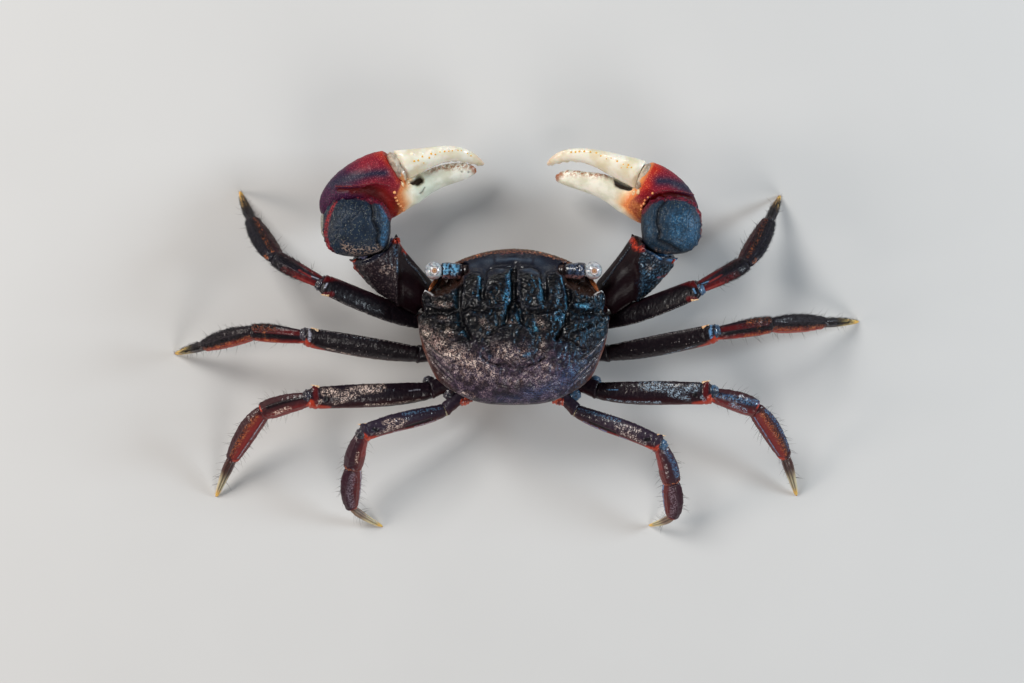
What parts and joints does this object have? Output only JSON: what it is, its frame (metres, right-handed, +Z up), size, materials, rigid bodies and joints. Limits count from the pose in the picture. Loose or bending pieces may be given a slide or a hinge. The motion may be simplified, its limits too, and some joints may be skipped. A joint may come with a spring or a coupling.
{
  "type": "mangrove crab",
  "caption": "Life-size still model of a mangrove crab standing on its legs, with dark lobed carapace, stalked eyes, red and cream claws held forward and hooked walking legs",
  "frame": {"origin": "on the floor, under the middle of the box around the crab in plan", "axes": "X to the crab's right, Y towards its head and Z up from the floor it stands on"},
  "size_m": [0.1446, 0.0798, 0.0265],
  "materials": {
    "shell": "wet, near black navy shell with beige granules to the rear",
    "underside": "pale satin belly plates",
    "eye": "glossy pale grey cornea",
    "leg": "glossy dark violet to red-brown leg shell",
    "leg_tip": "horn-yellow claw tips with dark stripes",
    "claw": "granular magenta-red palm turning orange and cream at the fingers",
    "claw_finger": "smooth cream finger",
    "claw_arm": "leathery slate-blue arm plates with red margins"
  },
  "bodies": {
    "root": {"carapace": "shell", "sternum": "underside", "abdomen_flap": "underside", "mouthparts": "underside", "eye_l": "eye", "eyestalk_l": "shell", "antenna_l": "shell", "eye_r": "eye", "eyestalk_r": "shell", "antenna_r": "shell", "leg_l1_base": "leg", "leg_l1_merus": "leg", "leg_l1_carpus": "leg", "leg_l1_propodus": "leg", "leg_l1_dactylus": "leg_tip", "leg_l2_base": "leg", "leg_l2_merus": "leg", "leg_l2_carpus": "leg", "leg_l2_propodus": "leg", "leg_l2_dactylus": "leg_tip", "leg_l3_base": "leg", "leg_l3_merus": "leg", "leg_l3_carpus": "leg", "leg_l3_propodus": "leg", "leg_l3_dactylus": "leg_tip", "leg_l4_base": "leg", "leg_l4_merus": "leg", "leg_l4_carpus": "leg", "leg_l4_propodus": "leg", "leg_l4_dactylus": "leg_tip", "leg_r1_base": "leg", "leg_r1_merus": "leg", "leg_r1_carpus": "leg", "leg_r1_propodus": "leg", "leg_r1_dactylus": "leg_tip", "leg_r2_base": "leg", "leg_r2_merus": "leg", "leg_r2_carpus": "leg", "leg_r2_propodus": "leg", "leg_r2_dactylus": "leg_tip", "leg_r3_base": "leg", "leg_r3_merus": "leg", "leg_r3_carpus": "leg", "leg_r3_propodus": "leg", "leg_r3_dactylus": "leg_tip", "leg_r4_base": "leg", "leg_r4_merus": "leg", "leg_r4_carpus": "leg", "leg_r4_propodus": "leg", "leg_r4_dactylus": "leg_tip", "claw_l_base": "claw_arm", "claw_l_merus": "claw_arm", "claw_l_carpus": "claw_arm", "claw_l_palm": "claw", "claw_l_finger": "claw_finger", "claw_r_base": "claw_arm", "claw_r_merus": "claw_arm", "claw_r_carpus": "claw_arm", "claw_r_palm": "claw", "claw_r_finger": "claw_finger"}
  },
  "joints": []
}
